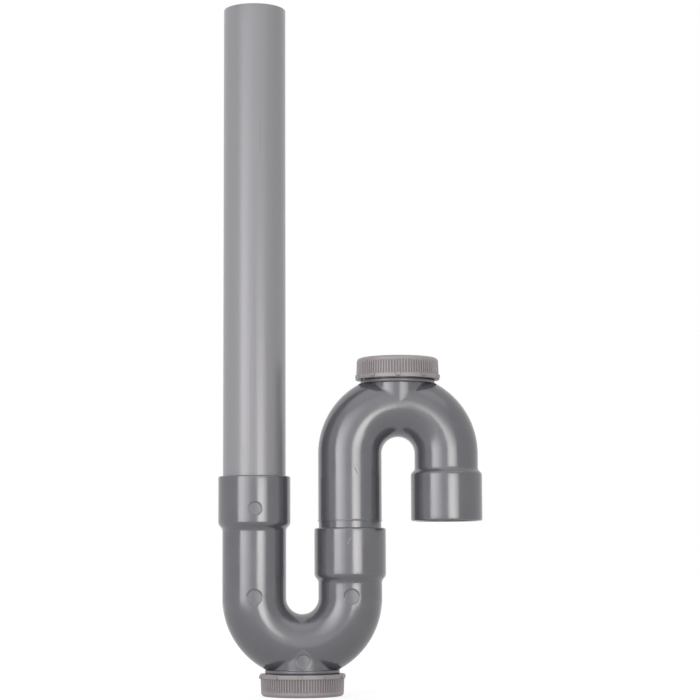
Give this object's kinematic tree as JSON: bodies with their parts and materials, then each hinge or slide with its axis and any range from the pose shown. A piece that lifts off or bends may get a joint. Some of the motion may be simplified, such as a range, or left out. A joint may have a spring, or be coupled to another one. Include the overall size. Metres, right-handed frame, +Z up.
{
  "type": "standpipe trap",
  "caption": "Grey plastic swan-neck water trap for 40 mm waste pipe, with a standpipe, U bends and screw cleaning caps.",
  "frame": {"origin": "centre of the lower cap's flat end, on which the trap stands", "axes": "+Z up along the standpipe, +X from the lower bend towards the outlet, Y across the two bends"},
  "size_m": [0.1686, 0.0562, 0.4426],
  "materials": {
    "pipe_pvc": "extruded, with a soft sheen",
    "fitting_pvc": "injection moulded, satin gloss",
    "cap_plastic": "injection moulded, matte",
    "seal_rubber": "matte black rubber"
  },
  "bodies": {
    "trap_body": {"standpipe": "pipe_pvc", "lower_bend": "fitting_pvc", "upper_bend": "fitting_pvc"},
    "lower_seal": {"lower_cap_seal": "seal_rubber"},
    "lower_cap": {"lower_cap": "cap_plastic"},
    "upper_seal": {"upper_cap_seal": "seal_rubber"},
    "upper_cap": {"upper_cap": "cap_plastic"}
  },
  "joints": [
    {"name": "lower_cap_lift", "type": "slide", "parent": "trap_body", "child": "lower_seal", "axis": [0, 0, -1], "range_m": [0, 0.0091]},
    {"name": "lower_cap_turn", "type": "hinge", "parent": "lower_seal", "child": "lower_cap", "pos_m": [0, 0, 0.00695], "axis": [0, 0, -1], "range_deg": [0, 1080]},
    {"name": "upper_cap_lift", "type": "slide", "parent": "trap_body", "child": "upper_seal", "axis": [0, 0, 1], "range_m": [0, 0.0091]},
    {"name": "upper_cap_turn", "type": "hinge", "parent": "upper_seal", "child": "upper_cap", "pos_m": [0.0614, 0, 0.20725], "axis": [0, 0, 1], "range_deg": [0, 1080]}
  ],
  "couplings": [
    {"joint": "lower_cap_lift", "follows": "lower_cap_turn", "m_per_rad": 0.00047746},
    {"joint": "upper_cap_lift", "follows": "upper_cap_turn", "m_per_rad": 0.00047746}
  ]
}
